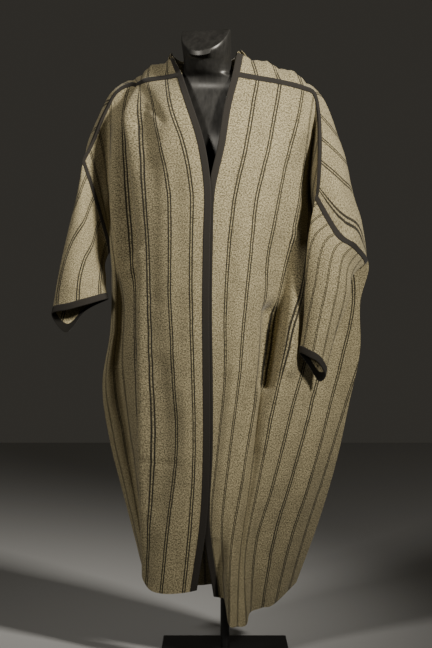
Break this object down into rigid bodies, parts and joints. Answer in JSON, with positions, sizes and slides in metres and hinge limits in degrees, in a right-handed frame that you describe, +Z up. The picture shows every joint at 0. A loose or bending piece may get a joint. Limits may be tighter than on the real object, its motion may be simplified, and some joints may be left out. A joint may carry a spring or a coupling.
{
  "type": "hooded wool djellaba hung on a limbless dress form with a pole and base plate",
  "caption": "Wide hooded wool robe, open down the front, with short sleeves and dark braid, hung on a black dress form on a pole and flat base.",
  "frame": {"origin": "centre of the base plate's underside, on the pole's axis", "axes": "+Z up along the pole; the robe's open front faces -Y; the wearer's right side is at -X and the wearer's left side at +X"},
  "size_m": [0.7762, 0.363, 1.512],
  "materials": {
    "wool": "matt fulled wool, heathered greige with thin dark double stripes",
    "braid": "matt dark charcoal braid",
    "form": "glossy black",
    "stand": "black satin enamel"
  },
  "bodies": {
    "root": {"front_right": "wool", "front_left": "wool", "back": "wool", "sleeve_right": "wool", "sleeve_left": "wool", "hood": "wool", "braid_front_right": "braid", "braid_front_left": "braid", "braid_shoulder_right": "braid", "braid_shoulder_left": "braid", "braid_armhole_right": "braid", "braid_armhole_left": "braid", "braid_cuff_right": "braid", "braid_cuff_left": "braid", "braid_hood": "braid", "form_torso": "form", "form_plate": "stand", "form_pole": "stand"}
  },
  "joints": []
}
